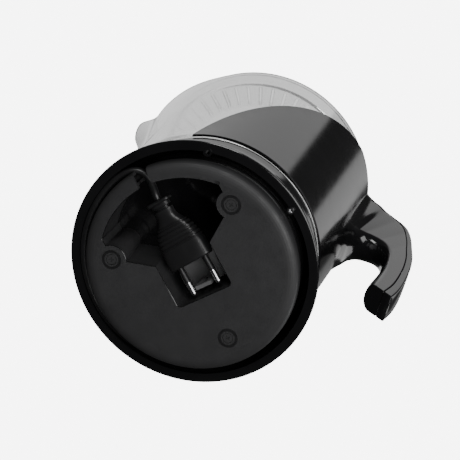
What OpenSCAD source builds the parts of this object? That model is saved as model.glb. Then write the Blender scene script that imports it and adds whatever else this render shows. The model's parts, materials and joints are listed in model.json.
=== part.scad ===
// Electric citrus press: motor base with a cord store underneath, lift-off jug with a
// hooked handle, strainer with pulp control, and a pair of reamer cones.
// Millimetres, +Z up. The origin is on the main axis, in the plane the base stands on.
// The handle points along +X and the spout along -X.

/* [Base] */
// Radius of the base at its widest
base_r = 80.5; // [79:0.5:82]
// Height of the widest ring above the table
base_wide_z = 9.3; // [9.2:0.1:10.5]
// Radius of the waist where the jug sits
waist_r = 73; // [72.5:0.1:73.5]
// Height of the deck that carries the jug
deck_z = 41; // [40:1:42]
// Thickness of moulded walls
wall = 2; // [1.8:0.1:2.2]

/* [Base plate] */
// Radius of the base plate
plate_r = 69; // [68.6:0.1:69.2]
// Height of the plate's upturned rim
plate_rim_h = 8; // [7:0.5:8]
// Radius of the fan-shaped cord recess
fan_r = 59; // [58.5:0.1:59]
// Direction of the recess and its cord notch, in degrees from the handle
recess_angle = 224; // [222:1:226]
// Width of the plug pocket
pocket_w = 40; // [39:1:41]
// How far the plug pocket reaches past the axis
pocket_reach = 21; // [20:1:22]
// Width of the cord notch
notch_w = 9.6; // [9:0.1:10]
// Distance of the three plate screws from the axis
screw_ring_r = 51; // [50:0.5:51.5]

/* [Cord] */
// Diameter of the mains cord
cord_d = 5; // [4.8:0.1:5]
// Turns of cord wound in the channel
cord_turns = 3; // [2:1:3]
// Radius of the turns of cord
cord_turn_r = 64.4; // [64.2:0.1:64.6]

/* [Jug] */
// Height of the jug's rim above the table
rim_z = 193.5; // [190:0.5:195]
// Radius of the jug at its rim
rim_r = 77; // [76.5:0.5:78]
// How far the spout's tip reaches from the axis
spout_reach = 94; // [90:1:95]
// Height of the motor tower
tower_z = 150; // [149:1:151]

/* [Handle] */
// How far the back of the handle is from the axis
handle_reach = 125.7; // [124.5:0.1:126.5]
// Width of the grip
grip_w = 18.6; // [17:0.1:19]
// Width of the root where it leaves the jug
root_w = 21; // [20:0.5:24]

/* [Strainer and cones] */
// Number of slots in the strainer
strainer_slots = 48; // [36:4:60]
// Radius of the large cone at its foot
large_cone_r = 38; // [36:1:40]
// Radius of the small cone at its foot
small_cone_r = 25; // [24:1:26]
// Number of ribs on each cone
cone_ribs = 10; // [8:1:12]

/* [Gears] */
// Tooth size (module) of both gear stages
gear_m = 0.6; // [0.6]
// Teeth on the motor pinion
pinion_t = 12; // [12]
// Teeth on the layshaft wheel
wheel_t = 34; // [34]
// Teeth on the layshaft pinion
lay_t = 14; // [14]
// Teeth on the output gear
output_t = 32; // [32]

/* [Hidden] */
$fn = 96;
black = [0.07, 0.07, 0.08];
dark = [0.14, 0.14, 0.15];
steel = [0.75, 0.76, 0.78];
clear = [0.82, 0.86, 0.88, 0.45];
gap = 0.3;
tiny = 0.01;

lip_z = 8.5;            // bottom of the shell's ring, above the table
lip_in_r = 74.3;        // inner edge of that ring
channel_in_r = 70.8;    // inside of the shell above the ring
deck_t = 3;
gland_angle = 62;       // where the mains lead goes through the core
gland_slant = 50;       // how far the gland turns from radial towards the winding
gland_z = 33.8;
lead_hole = [15.7, 23.2]; // hole in the deck for the inner leads
plate_t = 3;
core_r = 61.2;          // outside of the winding core
core_t = 2;
boss_r = 9.3;           // tongues of the plate round the screws
step_z = 18;            // plate wall below, shell wall above
screw_angles = [44, 164, 284];
jug_z = 43.5;           // underside of the jug
floor_t = 2.5;
tower_r0 = 33;
tower_r1 = 30;
chimney_top = 160;
motor_r = 26;
motor_z = 47;
gearbox_z = 84;
centre_d = gear_m * (pinion_t + wheel_t) / 2;
spindle_r = 4;
spindle_top = 196;
hex_r = 4.6;
sieve_z = 182;          // underside of the slotted ring
sieve_r = 71;
plug_tilt = 8;
plug_yaw = -4;
plug_z = 9;             // centre of the plug's front face

// Cubic Bezier curve through two ends and two handles, as n + 1 points
function bez(a, b, c, d, n) = [for (i = [0:n]) let (t = i / n, u = 1 - t)
    u * u * u * a + 3 * u * u * t * b + 3 * u * t * t * c + t * t * t * d];
function jug_r(z) = waist_r + (rim_r - waist_r) * (z - jug_z) / (rim_z - jug_z);
function on_ring(r, a, z) = [r * cos(a), r * sin(a), z];

// Involute gear outline, in the XY plane, with a tooth on +X
function involute(rb, a) = [rb * (cos(a) + a * PI / 180 * sin(a)), rb * (sin(a) - a * PI / 180 * cos(a))];
function roll_at(rb, r) = r > rb ? sqrt(r * r / rb / rb - 1) * 180 / PI : 0;
module gear_2d(teeth, bore_r, slack = 0.12) {
    pr = gear_m * teeth / 2;
    rb = pr * cos(20);
    ro = pr + gear_m * 0.9;
    rr = pr - gear_m * 1.2;
    inv20 = tan(20) * 180 / PI - 20;
    half = 90 / teeth - slack / pr * 90 / PI + inv20;
    flank = [for (i = [0:4]) let (r = max(rb, rr) + (ro - max(rb, rr)) * i / 4, p = involute(rb, roll_at(rb, r)),
        a = atan2(p[1], p[0]) - half) [norm(p) * cos(a), norm(p) * sin(a)]];
    mirrored = [for (i = [4:-1:0]) [flank[i][0], -flank[i][1]]];
    difference() {
        union() {
            circle(rr);
            for (k = [0:teeth - 1]) rotate(k * 360 / teeth)
                polygon(concat([[rr * 0.6, flank[0][1]]], flank, mirrored, [[rr * 0.6, -flank[0][1]]]));
        }
        if (bore_r > 0) circle(bore_r);
    }
}

// Tube swept along a list of points, with flat closed ends
function sweep_dir(p, i) = let (a = p[max(i - 1, 0)], b = p[min(i + 1, len(p) - 1)]) (b - a) / norm(b - a);
module sweep_tube(p, r, sides) {
    rings = [for (i = [0:len(p) - 1]) let (d = sweep_dir(p, i), q = cross([0, 0, 1], d), e = q / norm(q),
        g = cross(d, e)) each [for (k = [0:sides - 1]) let (t = k * 360 / sides)
            p[i] + r * (cos(t) * e + sin(t) * g)]];
    last = (len(p) - 1) * sides;
    faces = concat(
        [[for (k = [0:sides - 1]) k]],
        [[for (k = [sides - 1:-1:0]) last + k]],
        [for (i = [0:len(p) - 2], k = [0:sides - 1]) let (n = (k + 1) % sides)
            [i * sides + k, (i + 1) * sides + k, (i + 1) * sides + n, i * sides + n]]);
    polyhedron(points = rings, faces = faces, convexity = 10);
}

// Frame of the recess: +X runs from the notch through the pocket
module recess_frame() { rotate(recess_angle - 180) children(); }

// The cut-out in the base plate, grown outwards by g
module recess_2d(g = 0) {
    side = [[-9.5, 20], [-19.5, 35], [-24, 43.4]] + [for (i = [0:2]) [0.87, i < 2 ? 0.5 : 1] * g];
    half = concat([[-9.5 + g, 0]], side, [[-90, side[2][1]]]);
    difference() {
        union() {
            intersection() {
                circle(fan_r + g);
                for (s = [0, 1]) mirror([0, s]) polygon(concat(half, [[-90, -1], [-9.5 + g, -1]]));
            }
            translate([-20, -pocket_w / 2 - g]) square([pocket_reach + 17 + g, pocket_w + 2 * g]);
            translate([-20, -pocket_w / 2 + 3]) square([pocket_reach + 20 + g, pocket_w - 6]);
            for (s = [-1, 1]) translate([pocket_reach - 3, s * (pocket_w / 2 - 3)]) circle(3 + g);
        }
        for (a = [-120, 120]) rotate(a) translate([screw_ring_r, 0]) circle(boss_r - g);
    }
}
module notch_2d(w) { translate([-plate_r - 6, -w / 2]) square([24, w]); }

module base_shell() color(black) difference() {
    union() {
        rotate_extrude() polygon(concat(
            [[lip_in_r, lip_z]],
            bez([77.5, lip_z], [79.4, lip_z], [base_r, 8.8], [base_r, base_wide_z], 6),
            bez([base_r, base_wide_z + 1], [76.5, 17], [waist_r, 24], [waist_r, 34], 10),
            [[waist_r, deck_z], [channel_in_r, deck_z], [channel_in_r, deck_z + 2], [tower_r0 + gap, deck_z + 2],
                [tower_r0 + gap, deck_z], [0, deck_z], [0, deck_z - deck_t],
                [channel_in_r, deck_z - deck_t], [channel_in_r, 27], [lip_in_r, 12]]));
        for (a = [260, 310]) rotate(a) translate([lip_in_r, 0, lip_z - 0.3]) cylinder(r = 2.8, h = 6);
        for (a = screw_angles) rotate(a) translate([screw_ring_r, 0, plate_t + 0.1])
            cylinder(r = 4.5, h = deck_z - deck_t - plate_t + 1);
    }
    rotate(260) translate([lip_in_r, 0, lip_z - 1]) cylinder(r = 1.5, h = 5);
    rotate(310) translate([lip_in_r, 0, lip_z - 1]) cylinder(r = 1.1, h = 6);
    for (a = screw_angles) rotate(a) translate([screw_ring_r, 0, 2]) cylinder(r = 1.65, h = 14);
    translate([lead_hole[0], lead_hole[1], deck_z - deck_t - 1]) cylinder(r = 2.9, h = deck_t + 2);
}

module bottom_plate() color(dark) difference() {
    rotate_extrude() polygon(concat(
        [[0, 0]], bez([plate_r - 8, 0], [plate_r - 2.5, 0], [plate_r, 1.8], [plate_r, 5], 8),
        [[plate_r, plate_rim_h], [plate_r - wall, plate_rim_h], [plate_r - wall, plate_t], [0, plate_t]]));
    recess_frame() {
        translate([0, 0, -1]) linear_extrude(20) recess_2d();
        translate([0, 0, -1]) linear_extrude(20) notch_2d(notch_w);
    }
    for (a = screw_angles) rotate(a) translate([screw_ring_r, 0, 0]) {
        translate([0, 0, -1]) cylinder(r = 1.8, h = 6);
        translate([0, 0, -1]) cylinder(r = 3.5, h = 2.6);
        difference() {
            translate([0, 0, -1]) cylinder(r = 6.4, h = 2);
            translate([0, 0, -1]) cylinder(r = 4.6, h = 2);
        }
    }
}

// Recess wall outline: a thin band round the cut-out, inside the winding core
module recess_band(g) {
    intersection() {
        difference() {
            recess_2d(g + wall * 0.8);
            recess_2d(g);
        }
        circle(fan_r - gap);
    }
}
module recess_walls() color(dark) recess_frame() {
    translate([0, 0, plate_t]) linear_extrude(step_z - plate_t) recess_band(0);
    translate([0, 0, step_z]) linear_extrude(deck_z - deck_t - step_z) recess_band(0.6);
}

module winding_core() color(black) difference() {
    translate([0, 0, plate_t]) difference() {
        cylinder(r = core_r, h = deck_z - deck_t - plate_t);
        translate([0, 0, -1]) cylinder(r = core_r - core_t, h = 60);
    }
    recess_frame() translate([-plate_r, -11, 0]) cube([20, 22, 24]);
    gland_frame() translate([0, 0, -12]) cylinder(r = 3.6, h = 20);
}

module foot_rings() color([0.10, 0.10, 0.11]) for (a = screw_angles) rotate(a) translate([screw_ring_r, 0, 0])
    rotate_extrude() translate([4.7, 0]) square([1.6, 0.9]);

module plate_screws() color(dark) for (a = screw_angles) rotate(a) translate([screw_ring_r, 0, 0]) difference() {
    union() {
        translate([0, 0, 0.2]) cylinder(r = 3.2, h = 1.3);
        translate([0, 0, 1.5]) cylinder(r = 1.6, h = 12);
    }
    for (t = [0, 90]) rotate(t) translate([-1.6, -0.3, 0]) cube([3.2, 0.6, 0.9]);
}

module ledge_screw() color(steel) rotate(310) translate([lip_in_r, 0, lip_z - 0.3]) difference() {
    union() {
        translate([0, 0, -1]) cylinder(r = 1.9, h = 0.95);
        translate([0, 0, -0.5]) cylinder(r = 1.05, h = 5);
    }
    for (t = [0, 90]) rotate(t) translate([-1.1, -0.2, -1.1]) cube([2.2, 0.4, 0.6]);
}

// Cradle in the pocket: floor, crossbar between the pins and two spring clips
module plug_holder() color([0.32, 0.32, 0.33]) recess_frame() {
    translate([-2, -16, 24]) cube([20, 32, 2]);
    for (t = [-14.5, 12.5]) translate([4, t, 16]) cube([12, 2, 8]);
    translate([13.8, -5.6, 6.5]) cube([2.4, 11.2, 2.2]);
    for (t = [-5.5, 2]) translate([13.8, t, 8.7]) cube([2.4, 3, 15.3]);
    translate([-2, -1, 26]) cube([6, 2, deck_z - deck_t - 26]);
}

// Frame of the gland: +Z runs out along the cord, from the middle of the core's wall
module gland_frame() {
    rotate(gland_angle) translate([core_r - core_t / 2, 0, gland_z]) rotate(gland_slant) rotate([0, 90, 0]) children();
}
module cord_gland() color(dark) intersection() {
    gland_frame() translate([0, 0, -9]) union() {
        cylinder(r = 3.5, h = 14);
        cylinder(r = 4.1, h = 1.8);
    }
    cylinder(r = cord_turn_r - cord_d / 2 - gap, h = deck_z);
}

coil_top = deck_z - deck_t - 1.6;
coil_h = cord_d * (cord_turns + 1) + 2;
module cord_coil() color(black) rotate_extrude() translate([cord_turn_r - cord_d / 2 - 0.3, coil_top - coil_h])
    square([cord_d + 0.6, coil_h]);

// Route of the cord from the coil, round the plate's rim and through the notch to the plug,
// as radius, direction and height
lead_route = [
    [64.4, 62, 11.9], [65.3, 70, 11.85], [66.4, 78, 11.7], [67.6, 87, 11.6], [69, 96, 11.3],
    [70.3, 106, 11], [71.2, 116, 10.7], [71.6, 126, 10.3], [71.6, 136, 9.9], [71.6, 146, 9.5],
    [71.6, 156, 9.2], [71.6, 166, 8.9], [71.6, 176, 8.7], [71.6, 186, 8.7], [71.6, 195, 9],
    [71.6, 203, 9.6], [71.5, 210, 10.4], [70.4, 216, 11.1], [67.8, 220.5, 11.6], [64, 223, 11.7],
    [60.5, 223.9, 11.9], [57, 223.3, 13], [53, 222.1, 14.7], [49.2, 220.8, 15.6], [45.4, 220.06, 15.25]
];
module cord_lead() color(black) sweep_tube([for (p = lead_route) on_ring(p[0], p[1], p[2])], cord_d / 2, 10);

// The plug's own frame: origin at the middle of its front face, +X out along the pins
module plug_frame() {
    recess_frame() translate([-1, 0, plug_z]) rotate([0, plug_tilt, plug_yaw]) children();
}
module plug_body() color([0.13, 0.13, 0.14]) plug_frame() difference() {
    union() {
        hull() for (t = [-1, 1]) translate([-13, t * 9.3, 0]) rotate([0, 90, 0]) cylinder(r = 6, h = 13, $fn = 32);
        hull() {
            for (t = [-1, 1]) translate([-14, t * 9, 0]) rotate([0, 90, 0]) cylinder(r = 5.4, h = 2, $fn = 32);
            for (t = [-1, 1]) translate([-33, t * 3, 0]) rotate([0, 90, 0]) cylinder(r = 4.2, h = 1, $fn = 32);
        }
        for (i = [0:4]) translate([-16 - i * 2.4, 0, 0]) rotate([0, 90, 0])
            linear_extrude(1.2) translate([-6.1 + i * 0.25, -13.2 + i * 1.4]) square([12.2 - i * 0.5, 26.4 - i * 2.8]);
    }
    for (t = [-1, 1]) translate([-8, t * 9.3, 0]) rotate([0, 90, 0]) cylinder(r = 2.1, h = 20, $fn = 48);
}
module plug_neck() color([0.13, 0.13, 0.14]) plug_frame() {
    translate([-42, 0, 0]) rotate([0, 90, 0]) cylinder(r = 4.1, h = 9);
    for (i = [0, 1]) translate([-42 + i * 4.2, -6.5, -3.2]) cube([3, 13, 6.4]);
    translate([-44.4, -8.25, -4.5]) cube([2.4, 16.5, 9]);
}
module plug_sleeves() color(black) plug_frame() for (t = [-1, 1])
    translate([-7, t * 9.3, 0]) rotate([0, 90, 0]) difference() {
        cylinder(r = 2.05, h = 17, $fn = 48);
        translate([0, 0, -1]) cylinder(r = 1.5, h = 19, $fn = 48);
    }
module plug_pins() color(steel) plug_frame() for (t = [-1, 1]) {
    translate([-7, t * 9.3, 0]) rotate([0, 90, 0]) rotate_extrude() polygon(concat(
        [[0, 0], [1.45, 0], [1.45, 17.05], [2, 17.05]],
        bez([2, 24.5], [2, 25.6], [1.2, 26.5], [0, 26.5], 6)));
}

module tower_cover() color(black) {
    rotate_extrude() polygon([[tower_r0 - wall, deck_z], [tower_r0, deck_z], [tower_r1, tower_z],
        [10, tower_z], [10, tower_z + 5.5], [8, tower_z + 5.5], [8, tower_z - wall],
        [tower_r1 - wall, tower_z - wall]]);
}

module motor_lower_cap() color(steel) difference() {
    union() {
        translate([0, 0, motor_z - 3]) cylinder(r = motor_r, h = 3);
        translate([0, 0, motor_z - 4.5]) cylinder(r = 6, h = 5.5);
    }
    translate([0, 0, motor_z - 3]) cylinder(r = 2.56, h = 8);
    for (a = [45:90:315]) rotate(a) translate([motor_r - 2.2, 0, motor_z - 4]) cylinder(r = 1.2, h = 6, $fn = 24);
}
module motor_stator() color([0.62, 0.36, 0.2]) difference() {
    translate([0, 0, motor_z]) cylinder(r = motor_r, h = 32);
    translate([0, 0, motor_z - 1]) cylinder(r = 18.6, h = 40);
    for (a = [45:90:315]) rotate(a) translate([motor_r - 2.2, 0, motor_z - 1]) cylinder(r = 1.2, h = 40, $fn = 24);
}
module motor_upper_cap() color(steel) difference() {
    union() {
        translate([0, 0, motor_z + 32]) cylinder(r = motor_r, h = 3);
        translate([0, 0, motor_z + 34]) cylinder(r = 6, h = gearbox_z - motor_z - 34);
    }
    translate([0, 0, motor_z + 30]) cylinder(r = 2.56, h = 20);
    for (a = [45:90:315]) rotate(a) translate([motor_r - 2.2, 0, motor_z + 30]) cylinder(r = 1.2, h = 9, $fn = 24);
}
module motor_screws() color(steel) for (a = [45:90:315]) rotate(a) translate([motor_r - 2.2, 0, 0]) {
    translate([0, 0, motor_z - 5]) cylinder(r = 2, h = 2, $fn = 24);
    translate([0, 0, motor_z - 3]) cylinder(r = 1.1, h = 37, $fn = 24);
}
module rotor_magnet() color([0.3, 0.3, 0.32]) translate([0, 0, motor_z + 3]) difference() {
    cylinder(r = 18, h = 26);
    translate([0, 0, -1]) cylinder(r = 2.5, h = 30);
}
module rotor_shaft() color(steel) translate([0, 0, motor_z - 2]) cylinder(r = 2.5, h = 51.5);
module rotor_pinion() color([0.85, 0.8, 0.6]) translate([0, 0, 87.5]) difference() {
    linear_extrude(7.5) gear_2d(pinion_t, 0);
    translate([0, 0, -1]) cylinder(r = 2.5, h = 9);
}

module gear_plate() color(steel) difference() {
    translate([0, 0, gearbox_z]) cylinder(r = 28, h = 2.5);
    translate([0, 0, gearbox_z - 1]) cylinder(r = 6.2, h = 5);
    translate([centre_d, 0, gearbox_z - 1]) cylinder(r = 1.5, h = 5, $fn = 48);
}
module gear_bridge() color(steel) difference() {
    translate([0, 0, 98]) cylinder(r = 25.8, h = 2.5);
    translate([0, 0, 97]) cylinder(r = 2.05, h = 5, $fn = 48);
    translate([centre_d, 0, 97]) cylinder(r = 5.4, h = 5);
}
module gear_cover() color([0.85, 0.85, 0.82]) difference() {
    translate([0, 0, gearbox_z + 2.5]) cylinder(r = 28, h = 31.5);
    translate([0, 0, gearbox_z]) cylinder(r = 26, h = 31.5);
    translate([0, 0, 110]) cylinder(r = spindle_r + 0.05, h = 20);
    translate([centre_d, 0, 110]) cylinder(r = 1.5, h = 20, $fn = 48);
}
module lay_shaft() color(steel) translate([centre_d, 0, gearbox_z]) cylinder(r = 1.45, h = 34, $fn = 48);
module lay_gear() color([0.92, 0.92, 0.9]) translate([centre_d, 0, 0]) difference() {
    union() {
        translate([0, 0, 88]) linear_extrude(6.5) rotate(180 / wheel_t) gear_2d(wheel_t, 0);
        translate([0, 0, 94.5]) linear_extrude(19) gear_2d(lay_t, 0);
    }
    translate([0, 0, 80]) cylinder(r = 1.5, h = 40, $fn = 48);
}
module output_gear() color([0.85, 0.8, 0.6]) translate([0, 0, 104]) difference() {
    linear_extrude(7) rotate(180 / output_t) gear_2d(output_t, 0);
    translate([0, 0, -1]) cylinder(r = spindle_r, h = 10);
}
module spindle() color(steel) {
    translate([0, 0, 99]) cylinder(r = 2, h = 4, $fn = 48);
    translate([0, 0, 103]) cylinder(r = spindle_r, h = 73);
    translate([0, 0, 131.2]) cylinder(r = 6, h = 2);
    translate([0, 0, 176]) cylinder(r = hex_r, h = spindle_top - 176, $fn = 6);
}
module spindle_bush() color([0.72, 0.52, 0.25]) translate([0, 0, tower_z - wall]) difference() {
    cylinder(r = 8, h = 4);
    translate([0, 0, -1]) cylinder(r = spindle_r + 0.05, h = 6);
}
module spindle_seal() color([0.1, 0.1, 0.1]) translate([0, 0, tower_z + 2]) difference() {
    cylinder(r = 8, h = 3);
    translate([0, 0, -1]) cylinder(r = spindle_r + 0.1, h = 6);
}

spring_turns = 4;
module press_spring() color(steel)
    sweep_tube([for (i = [0:spring_turns * 12]) on_ring(6.2, i * 30, 118.9 + i * 8.2 / spring_turns / 12)], 0.6, 6);
module thrust_cup() color([0.9, 0.9, 0.88]) difference() {
    union() {
        translate([0, 0, 128]) cylinder(r = 9, h = 3);
        translate([0, -3, 128]) cube([19, 6, 2]);
    }
    translate([0, 0, 127]) cylinder(r = spindle_r + 0.06, h = 6);
}
module switch_body() color(dark) difference() {
    translate([11.5, -3.2, 118]) cube([11, 6.4, 7.4]);
    translate([16.5, 0, 121]) cylinder(r = 1.3, h = 8, $fn = 48);
}
module switch_plunger() color([0.8, 0.15, 0.12]) translate([16.5, 0, 123.5]) cylinder(r = 1.24, h = 4.4, $fn = 48);

// Middle line of the inner leads, from the cord gland up through the deck to the motor
lead_rise = [[31.85, 44.3, 33.8], [32.1, 43.3, 33.8], [31, 40.3, 33.6], [28.7, 36.3, 33.3], [26, 31.5, 33.2],
    [22.4, 28.2, 33.6], [18.2, 25.6, 34.8], [15.9, 23.5, 37.4], [15.6, 23, 41], [14.6, 21.6, 42.2],
    [13.75, 20.4, 42.9], [13.6, 20.2, 43.8]];
function lead_side(i) = let (d = lead_rise[min(i + 1, len(lead_rise) - 1)] - lead_rise[max(i - 2, 0)])
    [-d[1], d[0], 0] / norm([d[0], d[1]]);
module supply_leads() color([0.2, 0.3, 0.7]) for (s = [-1.2, 1.2])
    sweep_tube([for (i = [0:len(lead_rise) - 1]) lead_rise[i] + s * lead_side(i)], 0.8, 8);

// Jug outline in plan at the rim, inset by g: a circle drawn out to the spout
module rim_plan(g) {
    hull() {
        circle(rim_r - g);
        for (s = [-1, 1]) translate([-rim_r - 1.5, s * 12]) circle(5 - g);
    }
    hull() {
        for (s = [-1, 1]) translate([-rim_r - 1.5, s * 12]) circle(5 - g);
        translate([-spout_reach + 5, 0]) circle(5 - g);
    }
}
module spout_solid(g, lift) {
    hull() {
        translate([0, 0, 150]) cylinder(r = jug_r(150) - g, h = 1);
        translate([0, 0, rim_z - 0.1 + lift]) linear_extrude(0.1) rim_plan(g);
    }
}
module jug() color(clear) difference() {
    union() {
        rotate_extrude() polygon([[0, jug_z], [waist_r, jug_z], [rim_r, rim_z], [0, rim_z]]);
        spout_solid(0, 0);
    }
    difference() {
        union() {
            rotate_extrude() polygon([[0, jug_z + floor_t], [waist_r - wall, jug_z + floor_t],
                [rim_r - wall, rim_z + 1], [0, rim_z + 1]]);
            spout_solid(wall, 0.5);
        }
        cylinder(r1 = tower_r0 + gap + wall + 1.5, r2 = tower_r1 + gap + wall, h = chimney_top);
        cylinder(r = 13, h = chimney_top + 8);
    }
    translate([0, 0, deck_z]) cylinder(r1 = tower_r0 + gap, r2 = tower_r1 + gap, h = tower_z - deck_z + 0.5);
    translate([0, 0, tower_z]) cylinder(r = 11, h = 40);
}

// Side view of the sleeve's swept edge
sleeve_edge = bez([-33, 30], [-24, 95], [15, 160], [66, 193], 24);
sleeve_t = 1.6;
module sleeve() color(black) intersection() {
    rotate_extrude() polygon([[jug_r(jug_z) + 0.1, jug_z], [jug_r(jug_z) + sleeve_t, jug_z],
        [jug_r(191) + sleeve_t, 191], [jug_r(191) + 0.1, 191]]);
    rotate([90, 0, 0]) translate([0, 0, -100]) linear_extrude(200)
        polygon(concat(sleeve_edge, [[140, 193], [140, 20], [-33, 20]]));
}

// Side view of the handle: top of the root, outer back, seam between its halves, and the
// hook's inside, which stands d further in along the middle
root_top = bez([76, 190.6], [84, 190.4], [91, 189.2], [97, 187.2], 6);
back_curve = concat(
    bez([97.3, 187.2], [102.5, 185.6], [106, 184.6], [109, 181.5], 4),
    bez([109, 181.5], [117, 172], [handle_reach + 0.3, 130], [handle_reach, 95], 12),
    bez([handle_reach, 95], [handle_reach - 0.2, 80], [124.6, 66], [122.4, 52.5], 6));
seam_curve = concat(
    bez([97, 187], [108, 182], [112, 165], [114.9, 149], 8),
    bez([114.9, 149], [119, 130], [121.3, 108], [119.8, 79], 8),
    bez([119.8, 79], [119, 70], [117.8, 63], [116.3, 56.3], 5));
function hook_curve(d) = concat(
    bez([110.4 - d, 60 + 0.6 * d], [112 - d, 72], [113.2 - d, 90], [112 - d, 108], 6),
    bez([112 - d, 108], [110.5 - d, 124 - 0.6 * d], [107 - d, 141 - d], [96, 141.6 - d], 8),
    bez([96, 141.6 - d], [86, 141.8 - d], [79, 134 - d], [72, 119 - d], 6));
hook_slabs = [[0, 60], [4.5, 13], [7, 7]];   // how far in, and how wide
handle_holes = [[75, 113.5], [148, 109.5]];  // height and start of each screw
screw_len = 8;
module wall_cut() {
    rotate_extrude() polygon([[0, 20], [jug_r(20) + sleeve_t + 0.1, 20], [jug_r(200) + sleeve_t + 0.1, 200], [0, 200]]);
}
module handle_front() color(black) difference() {
    intersection() {
        for (h = hook_slabs) rotate([90, 0, 0]) translate([0, 0, -h[1] / 2]) linear_extrude(h[1])
            polygon(concat([[68, 190.6]], root_top, seam_curve, hook_curve(h[0]), [[68, 108]]));
        union() {
            translate([98, -grip_w / 2, 0]) cube([40, grip_w, 220]);
            linear_extrude(220) polygon([[66, -26], [80, -19], [92, -root_w / 2], [98.1, -grip_w / 2],
                [98.1, grip_w / 2], [92, root_w / 2], [80, 19], [66, 26]]);
        }
    }
    wall_cut();
    for (h = handle_holes) translate([h[1], 0, h[0]]) rotate([0, 90, 0]) cylinder(r = 1.5, h = 20, $fn = 32);
}
module handle_back() color([0.1, 0.1, 0.11]) difference() {
    rotate([90, 0, 0]) translate([0, 0, -grip_w / 2]) linear_extrude(grip_w)
        polygon(concat(back_curve, [for (i = [len(seam_curve) - 1:-1:0]) seam_curve[i] + [0.1, 0.1]]));
    for (h = handle_holes) translate([h[1], 0, h[0]]) rotate([0, 90, 0])
        cylinder(r = 1.7, h = screw_len + 0.3, $fn = 32);
}
module handle_screws() color(steel) for (h = handle_holes) translate([h[1] + 0.1, 0, h[0]]) rotate([0, 90, 0])
    cylinder(r = 1.45, h = screw_len, $fn = 32);

module strainer() color(clear) difference() {
    rotate_extrude() polygon([[9.3, 172], [11.3, 172], [11.3, 176.4], [40, sieve_z], [sieve_r, sieve_z],
        [73.6, rim_z + 0.1], [rim_r - 0.4, rim_z + 0.1], [rim_r - 0.4, rim_z + 1.1], [71.8, rim_z + 1.1],
        [sieve_r - wall, 184],
        [40, 184], [12, 178.4], [9.3, 178.4]]);
    for (k = [0:strainer_slots - 1]) rotate(k * 360 / strainer_slots)
        translate([56, -0.9, 180]) cube([12, 1.8, 6]);
}
module pulp_ring() color([0.9, 0.92, 0.93, 0.6]) difference() {
    translate([0, 0, 184.2]) cylinder(r = 68.6, h = 1.4);
    translate([0, 0, 183]) cylinder(r = 54, h = 4);
    for (k = [0:strainer_slots - 1]) rotate(k * 360 / strainer_slots)
        translate([57, -1.1, 183]) cube([10, 2.2, 4]);
}

module slip_ring() color([0.9, 0.9, 0.88]) translate([0, 0, 173.5]) difference() {
    cylinder(r = 9.22, h = 3);
    translate([0, 0, -1]) cylinder(r = 7.26, h = 6);
}

// Dome of a reamer cone: half outline from the foot to the tip
function dome(r, z0, h) = bez([r, z0], [r * 0.86, z0 + h * 0.55], [r * 0.3, z0 + h * 0.85], [0, z0 + h], 14);
module cone_skin(r, z0, h, rib) {
    rotate_extrude() polygon(concat(dome(r - rib, z0, h - rib), [[0, z0]]));
    for (k = [0:cone_ribs - 1]) rotate(k * 360 / cone_ribs) rotate([90, 0, 0]) translate([0, 0, -1])
        linear_extrude(2) polygon(concat(dome(r, z0, h), [[0, z0]]));
}
small_z = 183.8;
module small_cone() color([0.16, 0.16, 0.17]) difference() {
    union() {
        cone_skin(small_cone_r, small_z, 40, 2);
        translate([0, 0, 176.7]) cylinder(r = 8.9, h = 7.6);
        translate([0, 0, 170]) cylinder(r = 7.2, h = 10);
    }
    translate([0, 0, 160]) cylinder(r = hex_r + 0.25, h = spindle_top + 0.3 - 160, $fn = 6);
}
module large_cone() color([0.16, 0.16, 0.17]) difference() {
    union() {
        cone_skin(large_cone_r, small_z + 3.5, 54, 2.5);
        rotate_extrude() translate([34, small_z + 3.5]) square([5, 1.5]);
    }
    translate([0, 0, -0.4]) rotate_extrude() polygon(concat(dome(small_cone_r + 0.6, small_z, 41.2), [[0, small_z]]));
}

base_shell();
bottom_plate();
recess_walls();
winding_core();
foot_rings();
plate_screws();
ledge_screw();
plug_holder();
cord_gland();
cord_coil();
cord_lead();
plug_body();
plug_neck();
plug_sleeves();
plug_pins();
tower_cover();
motor_lower_cap();
motor_stator();
motor_upper_cap();
motor_screws();
rotor_magnet();
rotor_shaft();
rotor_pinion();
gear_plate();
gear_bridge();
gear_cover();
lay_shaft();
lay_gear();
output_gear();
spindle();
spindle_bush();
spindle_seal();
press_spring();
thrust_cup();
switch_body();
switch_plunger();
supply_leads();
jug();
sleeve();
handle_front();
handle_back();
handle_screws();
strainer();
pulp_ring();
slip_ring();
small_cone();
large_cone();
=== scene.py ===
"""Looks for the citrus press: camera, stage, lights, procedural materials and the fine surfaces."""
import bpy
import json
import math
from mathutils import Matrix, Vector


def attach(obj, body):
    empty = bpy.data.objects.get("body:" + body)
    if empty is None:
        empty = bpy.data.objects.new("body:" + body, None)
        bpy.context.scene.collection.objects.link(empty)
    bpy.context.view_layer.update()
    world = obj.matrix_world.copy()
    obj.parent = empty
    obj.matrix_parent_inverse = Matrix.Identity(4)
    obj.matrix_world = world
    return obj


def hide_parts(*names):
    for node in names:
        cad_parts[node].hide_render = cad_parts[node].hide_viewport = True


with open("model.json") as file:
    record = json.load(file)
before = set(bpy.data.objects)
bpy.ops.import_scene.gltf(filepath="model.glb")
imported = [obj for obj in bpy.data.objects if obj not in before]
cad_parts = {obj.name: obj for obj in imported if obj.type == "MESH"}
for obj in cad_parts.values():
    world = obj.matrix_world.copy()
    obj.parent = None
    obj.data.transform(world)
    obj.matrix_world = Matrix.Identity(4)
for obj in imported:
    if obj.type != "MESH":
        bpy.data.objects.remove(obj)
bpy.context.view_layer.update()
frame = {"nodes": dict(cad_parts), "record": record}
NODES = frame["nodes"]
MM = 0.001


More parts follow.
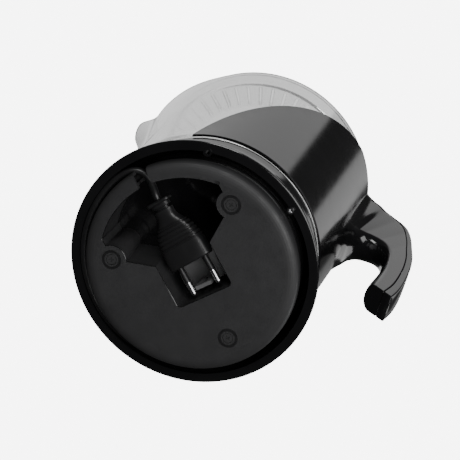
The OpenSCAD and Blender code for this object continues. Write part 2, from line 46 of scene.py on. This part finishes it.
# ---------------------------------------------------------------- camera
def make_camera():
    """Long lens below the base, looking up at its underside and at the handle."""
    data = bpy.data.cameras.new("camera")
    data.lens, data.sensor_width = 172.17, 36
    data.clip_start, data.clip_end = 0.05, 20
    right = (0.92706, -0.29048, 0.23703)
    up = (-0.35585, -0.88077, 0.31243)
    back = (0.11802, -0.37399, -0.91989)
    place = (0.1771, -0.54232, -1.25097)
    cam = bpy.data.objects.new("camera", data)
    cam.matrix_world = Matrix((*zip(right, up, back, place), (0, 0, 0, 1)))
    bpy.context.scene.collection.objects.link(cam)
    bpy.context.scene.camera = cam


make_camera()


# ---------------------------------------------------------------- small tools
def lerp(a, b, t):
    return a + (b - a) * t


def smooth(a, b, x):
    t = min(1, max(0, (x - a) / (b - a)))
    return t * t * (3 - 2 * t)


def table(pairs, x):
    """Straight interpolation in a list of (x, y) pairs."""
    if x <= pairs[0][0]:
        return pairs[0][1]
    for (a, p), (b, q) in zip(pairs, pairs[1:]):
        if x <= b:
            return lerp(p, q, (x - a) / (b - a))
    return pairs[-1][1]


def spline(points, n):
    """Catmull-Rom curve through points, n steps a span."""
    out = []
    before = Vector(points[0]) * 2 - Vector(points[1])
    after = Vector(points[-1]) * 2 - Vector(points[-2])
    p = [before, *map(Vector, points), after]
    for i in range(1, len(p) - 2):
        for k in range(n):
            t = k / n
            out.append(0.5 * (2 * p[i] + (p[i + 1] - p[i - 1]) * t
                              + (2 * p[i - 1] - 5 * p[i] + 4 * p[i + 1] - p[i + 2]) * t * t
                              + (3 * p[i] - p[i - 1] - 3 * p[i + 1] + p[i + 2]) * t * t * t))
    out.append(Vector(points[-1]))
    return out


def resample(points, n):
    """n + 1 points at even distances along a polyline."""
    far = [0]
    for a, b in zip(points, points[1:]):
        far.append(far[-1] + (b - a).length)
    out, i = [], 0
    for k in range(n + 1):
        want = far[-1] * k / n
        while i < len(far) - 2 and far[i + 1] < want:
            i += 1
        span = far[i + 1] - far[i]
        out.append(points[i].lerp(points[i + 1], (want - far[i]) / span if span else 0))
    return out


def mesh_piece(name, verts, faces, body, material):
    """A smooth-shaded mesh in the row frame, from points in millimetres."""
    mesh = bpy.data.meshes.new(name)
    mesh.from_pydata([tuple(c * MM for c in v) for v in verts], [], faces)
    mesh.validate()
    mesh.update()
    mesh.polygons.foreach_set("use_smooth", [True] * len(mesh.polygons))
    mesh.set_sharp_from_angle(angle=0.75)
    piece = bpy.data.objects.new(name, mesh)
    bpy.context.scene.collection.objects.link(piece)
    mesh.materials.append(MATERIALS[material])
    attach(piece, body)
    return piece


def turned(r, degrees, z):
    """Point at radius r from the main axis, in a compass direction, at height z."""
    f = math.radians(degrees)
    return (r * math.cos(f), r * math.sin(f), z)


def loft(rings, closed=False):
    """Faces between rings of equal size, with flat caps, or joined end to end."""
    n, verts, faces = len(rings[0]), [p for r in rings for p in r], []
    spans = len(rings) if closed else len(rings) - 1
    for i in range(spans):
        j = (i + 1) % len(rings)
        for k in range(n):
            m = (k + 1) % n
            faces.append((i * n + k, i * n + m, j * n + m, j * n + k))
    if not closed:
        faces.append(tuple(reversed(range(n))))
        faces.append(tuple(range((len(rings) - 1) * n, len(rings) * n)))
    return verts, faces


# ---------------------------------------------------------------- materials
def material(name, color, rough, rough_var, tone_var, grain, wave=None,
             metal=0.0, clear=0.0, ior=1.5, streak=(1, 1, 1)):
    """Plastic or metal with uneven tone, uneven gloss and a fine surface grain, all from noise.

    grain and wave are (scale, strength, distance) of the fine and of the broad relief.
    """
    m = bpy.data.materials.new(name)
    m.use_nodes = True
    t = m.node_tree
    b = t.nodes["Principled BSDF"]
    place = t.nodes.new("ShaderNodeTexCoord")
    stretch = t.nodes.new("ShaderNodeMapping")
    stretch.inputs["Scale"].default_value = streak
    t.links.new(place.outputs["Object"], stretch.inputs["Vector"])

    def noise(scale, detail, harshness=0.5):
        n = t.nodes.new("ShaderNodeTexNoise")
        n.inputs["Scale"].default_value = scale
        n.inputs["Detail"].default_value = detail
        n.inputs["Roughness"].default_value = harshness
        t.links.new(stretch.outputs["Vector"], n.inputs["Vector"])
        return n

    tone = noise(28, 4)
    ramp = t.nodes.new("ShaderNodeValToRGB")
    ramp.color_ramp.elements[0].position, ramp.color_ramp.elements[1].position = 0.25, 0.75
    ramp.color_ramp.elements[0].color = (*[c * (1 - tone_var) for c in color], 1)
    ramp.color_ramp.elements[1].color = (*[min(1, c * (1 + tone_var)) for c in color], 1)
    t.links.new(tone.outputs["Fac"], ramp.inputs["Fac"])
    t.links.new(ramp.outputs["Color"], b.inputs["Base Color"])

    gloss = noise(90, 5, 0.6)
    spread = t.nodes.new("ShaderNodeMapRange")
    spread.inputs["From Min"].default_value, spread.inputs["From Max"].default_value = 0.3, 0.7
    spread.inputs["To Min"].default_value = max(0.02, rough - rough_var)
    spread.inputs["To Max"].default_value = min(1, rough + rough_var)
    t.links.new(gloss.outputs["Fac"], spread.inputs["Value"])
    t.links.new(spread.outputs["Result"], b.inputs["Roughness"])

    fine = noise(grain[0], 3)
    bump = t.nodes.new("ShaderNodeBump")
    bump.inputs["Strength"].default_value = grain[1]
    bump.inputs["Distance"].default_value = grain[2]
    t.links.new(fine.outputs["Fac"], bump.inputs["Height"])
    last = bump
    if wave:
        soft = noise(wave[0], 1)
        swell = t.nodes.new("ShaderNodeBump")
        swell.inputs["Strength"].default_value = wave[1]
        swell.inputs["Distance"].default_value = wave[2]
        t.links.new(soft.outputs["Fac"], swell.inputs["Height"])
        t.links.new(bump.outputs["Normal"], swell.inputs["Normal"])
        last = swell
    t.links.new(last.outputs["Normal"], b.inputs["Normal"])
    b.inputs["Metallic"].default_value = metal
    b.inputs["IOR"].default_value = ior
    b.inputs["Transmission Weight"].default_value = clear
    return m


MATERIALS = {
    "black_gloss": material("black_gloss", (0.0075, 0.0075, 0.008), 0.12, 0.03, 0.25,
                            (700, 0.06, 0.0002), (14, 0.12, 0.0006)),
    "black_matte": material("black_matte", (0.026, 0.026, 0.027), 0.55, 0.08, 0.14,
                            (2600, 0.45, 0.00012)),
    "rubber_black": material("rubber_black", (0.012, 0.012, 0.0125), 0.36, 0.06, 0.2,
                             (1600, 0.2, 0.0001)),
    "steel": material("steel", (0.62, 0.62, 0.63), 0.24, 0.07, 0.08,
                      (1500, 0.15, 0.0001), metal=1.0, streak=(1, 1, 0.15)),
    "grey_plastic": material("grey_plastic", (0.11, 0.11, 0.112), 0.45, 0.07, 0.12,
                             (1800, 0.3, 0.00012)),
    "copper": material("copper", (0.62, 0.27, 0.12), 0.34, 0.08, 0.2,
                       (900, 0.6, 0.0004), metal=1.0, streak=(1, 1, 6)),
    "magnet": material("magnet", (0.09, 0.088, 0.085), 0.5, 0.1, 0.2, (1200, 0.4, 0.0002)),
    "nylon": material("nylon", (0.62, 0.6, 0.53), 0.42, 0.06, 0.07, (1400, 0.2, 0.0001)),
    "bronze": material("bronze", (0.5, 0.33, 0.14), 0.35, 0.08, 0.15,
                       (1100, 0.25, 0.0002), metal=1.0),
    "clear_plastic": material("clear_plastic", (0.95, 0.952, 0.95), 0.035, 0.02, 0.015,
                              (500, 0.05, 0.0001), (9, 0.1, 0.0006), clear=1.0, ior=1.49),
    "cone_grey": material("cone_grey", (0.032, 0.033, 0.034), 0.32, 0.06, 0.16,
                          (1500, 0.25, 0.0001)),
}

for part in frame["record"]["subparts"]:
    node = NODES[part["node"]]
    node.data.materials.clear()
    node.data.materials.append(MATERIALS[part["material_slot"]])


# ---------------------------------------------------------------- plug
RECESS_ANGLE = 44             # direction in which the parked pins point
PLUG = (Matrix.Rotation(math.radians(RECESS_ANGLE), 4, "Z") @ Matrix.Translation((-1, 0, 9))
        @ Matrix.Rotation(math.radians(-4), 4, "Z") @ Matrix.Rotation(math.radians(8), 4, "Y"))

# Half width and half height of the plug by place along it, which is 0 at its pin face
PLUG_WIDE = [(-42.2, 6.5), (-33.5, 6.5), (-31, 7.4), (-27, 9.8), (-22, 12), (-14, 13.9), (-11, 14.8),
             (0, 15.2)]
PLUG_TALL = [(-42.2, 3.5), (-36, 3.7), (-30, 4.6), (-22, 5.3), (-14, 5.9), (0, 6)]
GRIP_START, GRIP_END, GRIP_RIBS, RIB_RISE = -27.4, -13.6, 5, 0.75
SLOT_START, SLOT_END, SLOT_DEPTH = -39.6, -37.8, 1.9


def plug_ring(s, wide, tall, power):
    """Rounded rectangle across the plug at distance s, as a superellipse."""
    sides, out = 64, []
    for k in range(sides):
        a = 2 * math.pi * k / sides
        c, d = math.cos(a), math.sin(a)
        y = wide * math.copysign(abs(c) ** (2 / power), c)
        z = tall * math.copysign(abs(d) ** (2 / power), d)
        out.append(PLUG @ Vector((s, y, z)))
    return out


def plug_relief(s):
    """Height of the grip ribs, or depth of the neck's slot, at distance s."""
    if GRIP_START < s < GRIP_END:
        pitch = (GRIP_END - GRIP_START) / GRIP_RIBS
        from_middle = abs(((s - GRIP_START) / pitch) % 1 - 0.5) * 2
        return RIB_RISE * smooth(0.25, 0.4, from_middle)
    return -SLOT_DEPTH if SLOT_START < s < SLOT_END else 0


def make_plug():
    end, step, count = -42.2, 0.3, 137
    front_wide, front_tall = 15.2, 6
    rings = [plug_ring(end - 0.05, 5.8, 3, 2.6)]
    for i in range(count):
        s = end + i * step
        rise = plug_relief(s)
        power = 2.6 + 1.4 * smooth(-36, -18, s)
        rings.append(plug_ring(s, table(PLUG_WIDE, s) + rise, table(PLUG_TALL, s) + rise * 0.7, power))
    for s, inset in ((-1.2, 0.05), (-0.6, 0.25), (-0.2, 0.6), (0, 1.1)):
        rings.append(plug_ring(s, front_wide - inset, front_tall - inset, 4))
    verts, faces = loft(rings)
    body = mesh_piece("plug_shell", verts, faces, "base", "rubber_black")
    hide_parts("plug_body")

    collar_wide, collar_tall = 8.25, 4.5
    rounding = ((-44.6, 0.9), (-44.3, 0.25), (-43.9, 0), (-42.7, 0), (-42.3, 0.25), (-42, 0.9))
    collar = [plug_ring(s, collar_wide - inset, collar_tall - inset, 5) for s, inset in rounding]
    verts, faces = loft(collar)
    neck = mesh_piece("plug_collar", verts, faces, "base", "rubber_black")
    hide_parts("plug_neck")
    return [body, neck]


plug_parts = make_plug()


# ---------------------------------------------------------------- mains cord
CORD_D = 5
# Lead from the last turn, round the plate's rim and through the notch to the plug,
# as radius, direction and height
LEAD = [(64.4, 62, 17.2), (64.9, 70, 14.6), (65.9, 78, 12.7), (67.4, 87, 11.8), (69, 96, 11.3),
        (70.3, 106, 11), (71.2, 116, 10.7), (71.6, 126, 10.3), (71.6, 136, 9.9), (71.6, 146, 9.5),
        (71.6, 156, 9.2), (71.6, 166, 8.9), (71.6, 176, 8.7), (71.6, 186, 8.7), (71.6, 195, 9),
        (71.6, 203, 9.6), (71.5, 210, 10.4), (70.4, 216, 11.1), (67.8, 220.5, 11.6), (64, 223, 11.8),
        (60.5, 223.9, 12.1), (57, 223.3, 13.1), (53, 222.1, 14.5), (49.2, 220.8, 15.3),
        (45.4, 220.06, 15.25)]


def cord_path():
    """Centreline in millimetres: out of the gland, three turns down, then the lead to the plug."""
    turn_r, turns, top_z, low_z = 64.4, 3, 33.6, LEAD[0][2]
    last, start = LEAD[0][1], LEAD[0][1] + 10     # directions in which the winding ends and begins
    slant, bend, steps = 40, 14.0, 420
    path = []
    for i in range(9):
        turn = math.radians(slant * (1 - i / 8))
        radial = turn_r - bend * (1 - math.cos(turn))
        f = math.radians(start) - bend * math.sin(turn) / turn_r
        path.append(Vector((radial * math.cos(f), radial * math.sin(f), top_z)))
    for i in range(1, steps + 1):
        t = i / steps
        direction = start + (360 * turns + last - start) * t
        path.append(Vector(turned(turn_r, direction, top_z - (top_z - low_z) * t)))
    return path + spline([turned(*p) for p in LEAD], 6)[1:]


def make_cord():
    path = cord_path()
    curve = bpy.data.curves.new("mains_cord", "CURVE")
    curve.dimensions = "3D"
    curve.bevel_depth = CORD_D / 2 * MM
    curve.bevel_resolution = 6
    line = curve.splines.new("POLY")
    line.points.add(len(path) - 1)
    for p, q in zip(line.points, path):
        p.co = (*(q * MM), 1)
    line.use_smooth = True
    cord = bpy.data.objects.new("mains_cord", curve)
    bpy.context.scene.collection.objects.link(cord)
    curve.materials.append(MATERIALS["rubber_black"])
    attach(cord, "base")
    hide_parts("cord_coil", "cord_lead")


make_cord()


# ---------------------------------------------------------------- moulded edge of the cut-out
SCREW_RING_R = 51
SCREWS = [turned(SCREW_RING_R, a, 0)[:2] for a in (44, 164, 284)]
SCREW_CLEAR = 7.5             # leaves out the screw holes and their rings
CUT_OUT_R = 60.5              # leaves out the plate's outer edge
BEAD_R, BEAD_Z = 0.42, 0.43


def plate_edges():
    """Neighbours of each corner point of the plate's cut-out, on the underside, and the points."""
    plate = NODES["bottom_plate"]
    place = plate.matrix_world
    same, point, facing = {}, {}, {}
    for v in plate.data.vertices:
        p = (place @ v.co) / MM
        same[v.index] = tuple(round(c, 2) for c in p)
        point[same[v.index]] = p
    for face in plate.data.polygons:
        up = (place.to_3x3() @ face.normal).normalized().z
        for a, b in face.edge_keys:
            facing.setdefault(tuple(sorted((same[a], same[b]))), []).append(up)
    near = {}
    for (a, b), ups in facing.items():
        p, q = point[a], point[b]
        corner = min(ups) < -0.95 and max(ups) > -0.3 and max(abs(p.z), abs(q.z)) < 0.02
        inside = max(p.xy.length, q.xy.length) < CUT_OUT_R
        if corner and inside and all(math.dist(p.xy, s) > SCREW_CLEAR for s in SCREWS):
            near.setdefault(a, []).append(b)
            near.setdefault(b, []).append(a)
    return near, point


def edge_runs(near):
    """The cut-out's edge as chains of neighbouring points, each from an open end where it has one."""
    runs, left = [], set(near)
    while left:
        ends = [v for v in left if len([w for w in near[v] if w in left]) <= 1]
        run = [min(ends or left)]
        left.discard(run[0])
        step = [v for v in near[run[-1]] if v in left]
        while step:
            run.append(step[0])
            left.discard(step[0])
            step = [v for v in near[run[-1]] if v in left]
        runs.append(run)
    return runs


def bead(line):
    """Rings of eight points round a level line."""
    rise, rings = Vector((0, 0, 1)), []
    for i, p in enumerate(line):
        along = (line[min(i + 1, len(line) - 1)] - line[max(i - 1, 0)]).normalized()
        out = Vector((along.y, -along.x, 0))
        turns = [k * math.pi / 4 for k in range(8)]
        rings.append([p + BEAD_R * (math.cos(a) * out + math.sin(a) * rise) + rise * BEAD_Z for a in turns])
    return rings


def make_edge():
    """A fine rounded bead along the cut-out in the base plate, taken from the plate's own outline."""
    near, point = plate_edges()
    verts, faces = [], []
    for run in edge_runs(near):
        line = [point[run[0]]]
        for v in run[1:]:
            if (point[v] - line[-1]).length > 0.15:
                line.append(point[v])
        if len(line) < 3:
            continue
        more, skin = loft(bead(line))
        faces += [tuple(len(verts) + k for k in f) for f in skin]
        verts += more
    mesh_piece("plate_edge_bead", verts, faces, "base", "black_gloss")


make_edge()


# ---------------------------------------------------------------- jug
RIM_Z, FLOOR_Z = 193.5, 43.5
FOOT_R, RIM_R, JUG_WALL = 73, 77, 2
# How far the spout stands out at the rim, by angle from its middle: its broad flare, and its nose
FLARE = [(0, 8.1), (6, 8.05), (11, 7.6), (17, 6.9), (25.5, 5.4), (32, 4.2), (42, 2.1), (50, 0.6), (58, 0)]
NOSE = [(0, 9.7), (2, 9.5), (3.6, 8.9), (5, 7.7), (6.5, 5.4), (8, 3.1), (9.5, 1.2), (11, 0.2), (12, 0)]
FLARE_Z, NOSE_Z = 112, 158    # where each begins
# Inside of the jug, from the bowl's floor up over the tower's chimney and down it: radius and height
CHIMNEY = [(70.6, 47.2), (69.6, 46.3), (68, 46), (40, 46), (37.6, 46.6), (36.7, 48), (32.5, 157),
           (31.6, 159.2), (29.8, 160), (14.5, 160), (13.2, 161), (13, 167.6), (12.4, 168), (11.5, 168),
           (11.05, 167.4), (11.05, 150.7), (30.2, 150.6), (33.3, 43.9), (33.8, 43.5)]


def jug_r(angle, z):
    """Outer radius of the jug; angle is in degrees from the spout."""
    a = abs((angle + 180) % 360 - 180)
    r = FOOT_R + (RIM_R - FOOT_R) * (z - FLOOR_Z) / (RIM_Z - FLOOR_Z)
    r += table(FLARE, a) * max(0, (z - FLARE_Z) / (RIM_Z - FLARE_Z)) ** 1.7
    r += table(NOSE, a) * max(0, (z - NOSE_Z) / (RIM_Z - NOSE_Z)) ** 1.25
    return r


def jug_angles():
    """Directions from the spout, closer together across it."""
    fine = [i * 0.75 for i in range(-32, 33)]
    rest = [24 + i * 3 for i in range(1, 104)]
    return fine + rest


def make_jug():
    foot = []                                     # (height, inset from the outer wall)
    for i in range(4, -1, -1):
        a = math.radians(90 * i / 4)
        foot.append((FLOOR_Z + JUG_WALL * (1 - math.sin(a)), JUG_WALL * (1 - math.cos(a))))
    heights = [48 + i * (110 - 48) / 6 for i in range(7)] + [114 + i * (191.5 - 114) / 26 for i in range(27)]
    rim = [(192.3, 0.05), (193, 0.3), (193.4, 0.7), (193.5, 1.1), (193.4, 1.5), (193, 1.85), (192.3, 2)]
    outside = foot + [(z, 0) for z in heights] + rim
    inside = [(z, JUG_WALL) for z in reversed(heights)]
    columns = jug_angles()
    rings = [[turned(jug_r(a, z) - inset, 180 + a, z) for a in columns] for z, inset in outside + inside]
    rings += [[turned(r, 180 + a, z) for a in columns] for r, z in CHIMNEY]
    verts, faces = loft(rings, closed=True)
    piece = mesh_piece("jug_clear", verts, faces, "jug", "clear_plastic")
    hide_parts("jug")


make_jug()


# ---------------------------------------------------------------- handle
HANDLE_STEPS = 96
# By share of the way from the end face to the jug: half width of the side faces, place of the seam
# across them, and how far the rounded inside stands out
HALF = [(0, 9.3), (0.62, 9.3), (0.74, 9.6), (0.84, 10.6), (0.9, 12.5), (0.95, 16), (1, 22)]
SEAM = [(0, 0.51), (0.13, 0.42), (0.33, 0.37), (0.58, 0.3), (0.7, 0.2), (0.8, 0.08), (0.86, 0.03), (1, 0.02)]
BULGE = [(0, 7), (0.7, 7), (0.88, 5), (1, 2)]
# Side view, from the end face to the jug: the back, and the inner edge of the side faces
BACK_LINE = [(122.4, 52.5), (124.6, 66), (125.6, 80), (125.7, 97), (125.2, 113), (123.6, 130),
             (120.6, 146), (117, 163), (112.6, 176), (106.5, 183.5), (100.5, 186.4), (89.3, 189.4),
             (76.5, 190.6)]
INNER_LINE = [(110.4, 60), (111.5, 70), (112.5, 84), (112.4, 100), (110.3, 120), (107.6, 131),
              (103, 139), (97, 141.6), (88, 141), (81, 135.5), (75.5, 126)]
CORNER_R = 1.6
END_CHAMFER = 0.5
GROOVE = [0.5, 0.2, 0]        # depth of the seam's groove at its lip and next to it
GROOVE_W = 0.5
ROOT_START, ROOT_R = 0.93, 73.9   # where the root begins to lie on the jug, and its radius at the foot


def outline(points):
    return resample(spline([(x, 0, z) for x, z in points], 8), HANDLE_STEPS)


def handle_section(long, t, inset):
    """One side of the section at share t: (depth from the back, half width), from back to inside."""
    w, deep = table(HALF, t) - inset, table(BULGE, t) - inset
    side = [(inset, 0)]
    for k in range(5, -1, -1):
        a = math.radians(90 * k / 5)
        side.append((inset + CORNER_R * (1 - math.sin(a)), w - CORNER_R * (1 - math.cos(a))))
    for k in range(1, 19):
        side.append((lerp(CORNER_R + inset, long, k / 18), w))
    for k in range(1, 15):
        a = math.radians(90 * k / 14)
        side.append((long + deep * math.sin(a), w * math.cos(a) ** 0.9 if k < 14 else 0))
    return side


def handle_rings(o, c, t, inset, lift):
    """Ring of the front shell and ring of the back shell, from back point o and inner point c."""
    long, step = (c - o).length, (c - o).normalized()
    side = handle_section(long, t, inset)
    rise = Vector((step.z, 0, -step.x)) * lift
    if rise.z < 0:
        rise = -rise

    def place(depth, y):
        q = o + step * depth + rise
        x = q.x
        if t > ROOT_START:
            wall = ROOT_R + (RIM_R - FOOT_R) * (q.z - FLOOR_Z) / (RIM_Z - FLOOR_Z)
            x = lerp(q.x, math.sqrt(wall * wall - y * y), smooth(ROOT_START, 1, t))
        return (x, y, q.z)

    def full_ring(depths):
        sunk = GROOVE + [0] * (len(depths) - len(GROOVE))
        ring = [place(d, max(0, table(side, d) - g)) for d, g in zip(depths, sunk)]
        return ring + [(x, -y, z) for x, y, z in reversed(ring[:-1])]

    seam = table(SEAM, t) * long
    lip = [GROOVE_W * k / 2 for k in range(3)]
    beyond = next(d for d, _ in side if d > seam + 0.75)
    front = [seam + 0.25 + g for g in lip] + [lerp(beyond, side[-1][0], k / 40) for k in range(41)]
    rear = [max(0.02, seam - 0.15 - g) for g in lip]
    rear += [max(0.0, seam - 0.75) * (1 - k / 16) ** 1.6 for k in range(17)]
    return full_ring(front), full_ring(rear)


def make_handle():
    """Two shells that meet at a grooved seam, with a chamfered end face."""
    back, inside = outline(BACK_LINE), outline(INNER_LINE)
    pairs = [handle_rings(back[0], inside[0], 0, END_CHAMFER, 0),
             handle_rings(back[0], inside[0], 0, 0, END_CHAMFER)]
    for i in range(1, HANDLE_STEPS + 1):
        pairs.append(handle_rings(back[i], inside[i], i / HANDLE_STEPS, 0, 0))
    front, rear = zip(*pairs)
    for name, rings, node in (("handle_front_shell", front, "handle_front"),
                              ("handle_back_shell", rear, "handle_back")):
        verts, faces = loft(rings)
        piece = mesh_piece(name, verts, faces, "jug", "black_gloss")
        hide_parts(node)


make_handle()


# ---------------------------------------------------------------- stage and light
def make_stage():
    """Pale floor seen from above only, so that the underside stays in view from below."""
    bpy.ops.mesh.primitive_plane_add(size=3, location=(0, 0, 0))
    floor = bpy.context.object
    floor.name = "floor"
    m = bpy.data.materials.new("floor_paint")
    m.use_nodes = True
    t = m.node_tree
    paint = t.nodes["Principled BSDF"]
    paint.inputs["Base Color"].default_value = (0.82, 0.82, 0.81, 1)
    paint.inputs["Roughness"].default_value = 0.9
    see_through = t.nodes.new("ShaderNodeBsdfTransparent")
    side = t.nodes.new("ShaderNodeNewGeometry")
    mix = t.nodes.new("ShaderNodeMixShader")
    t.links.new(side.outputs["Backfacing"], mix.inputs["Fac"])
    t.links.new(paint.outputs["BSDF"], mix.inputs[1])
    t.links.new(see_through.outputs["BSDF"], mix.inputs[2])
    t.links.new(mix.outputs["Shader"], t.nodes["Material Output"].inputs["Surface"])
    floor.data.materials.append(m)
    floor.visible_diffuse = floor.visible_glossy = False
    floor.visible_transmission = floor.visible_shadow = False


def make_world():
    """Soft studio: bright overhead cards with dark gaps between them, dim walls, dark below."""
    world = bpy.data.worlds.new("studio")
    bpy.context.scene.world = world
    world.use_nodes = True
    t = world.node_tree
    back = t.nodes["Background"]
    coord = t.nodes.new("ShaderNodeTexCoord")
    split = t.nodes.new("ShaderNodeSeparateXYZ")
    t.links.new(coord.outputs["Generated"], split.inputs["Vector"])

    def ramp(stops):
        r = t.nodes.new("ShaderNodeValToRGB")
        e = r.color_ramp.elements
        for at, _ in stops[1:-1]:
            e.new(at)
        for item, (at, level) in zip(sorted(e, key=lambda q: q.position), stops):
            item.position = at
            item.color = (level, level, level, 1)
        return r

    turn = t.nodes.new("ShaderNodeMath")
    turn.operation = "ARCTAN2"
    t.links.new(split.outputs["Y"], turn.inputs[0])
    t.links.new(split.outputs["X"], turn.inputs[1])
    share = t.nodes.new("ShaderNodeMapRange")
    share.inputs["From Min"].default_value, share.inputs["From Max"].default_value = -math.pi, math.pi
    t.links.new(turn.outputs["Value"], share.inputs["Value"])
    cards = ramp([((a + 180) / 360, v) for a, v in CARDS])
    t.links.new(share.outputs["Result"], cards.inputs["Fac"])

    height = t.nodes.new("ShaderNodeMapRange")
    height.inputs["From Min"].default_value, height.inputs["From Max"].default_value = -1, 1
    t.links.new(split.outputs["Z"], height.inputs["Value"])
    walls = ramp([((z + 1) / 2, v) for z, v in WALLS])
    t.links.new(height.outputs["Result"], walls.inputs["Fac"])
    share_up = ramp([(0, 0), (0.87, 0), (0.9, 1), (1, 1)])
    t.links.new(height.outputs["Result"], share_up.inputs["Fac"])
    mix = t.nodes.new("ShaderNodeMixRGB")
    t.links.new(share_up.outputs["Color"], mix.inputs["Fac"])
    t.links.new(walls.outputs["Color"], mix.inputs[1])
    t.links.new(cards.outputs["Color"], mix.inputs[2])
    t.links.new(mix.outputs["Color"], back.inputs["Color"])

    paper = t.nodes.new("ShaderNodeBackground")
    paper.inputs["Color"].default_value = (1, 1, 1, 1)
    paper.inputs["Strength"].default_value = 7
    ray = t.nodes.new("ShaderNodeLightPath")
    pick = t.nodes.new("ShaderNodeMixShader")
    t.links.new(ray.outputs["Is Camera Ray"], pick.inputs["Fac"])
    t.links.new(back.outputs["Background"], pick.inputs[1])
    t.links.new(paper.outputs["Background"], pick.inputs[2])
    t.links.new(pick.outputs["Shader"], t.nodes["World Output"].inputs["Surface"])


# Brightness of the overhead cards by compass angle, and of the walls by height (sine)
CARDS = [(-180, 1), (-54, 1), (-50, 0.05), (-6, 0.05), (-2, 0.9), (30, 0.9), (34, 0.05), (55, 0.05),
         (60, 0.25), (88, 0.25), (95, 1), (180, 1)]
WALLS = [(-1, 0.02), (-0.3, 0.03), (0, 0.06), (0.5, 0.1), (0.77, 0.15), (1, 1)]


def area(name, place, target, size, power):
    data = bpy.data.lights.new(name, "AREA")
    data.shape = "RECTANGLE"
    data.size, data.size_y = size
    data.energy = power
    lamp = bpy.data.objects.new(name, data)
    lamp.location = place
    lamp.rotation_euler = (Vector(target) - Vector(place)).to_track_quat("-Z", "Y").to_euler()
    bpy.context.scene.collection.objects.link(lamp)


make_stage()
make_world()
area("under_soft", (0.9, -0.5, -1.3), (0, 0, 0.05), (1.2, 1.2), 24)
area("low_front", (-0.3, -1.3, -1.0), (-0.02, 0, 0.02), (0.5, 0.5), 9)
area("side_card", (1.5, 0.6, 0.5), (0, 0, 0.1), (0.6, 1.4), 10)
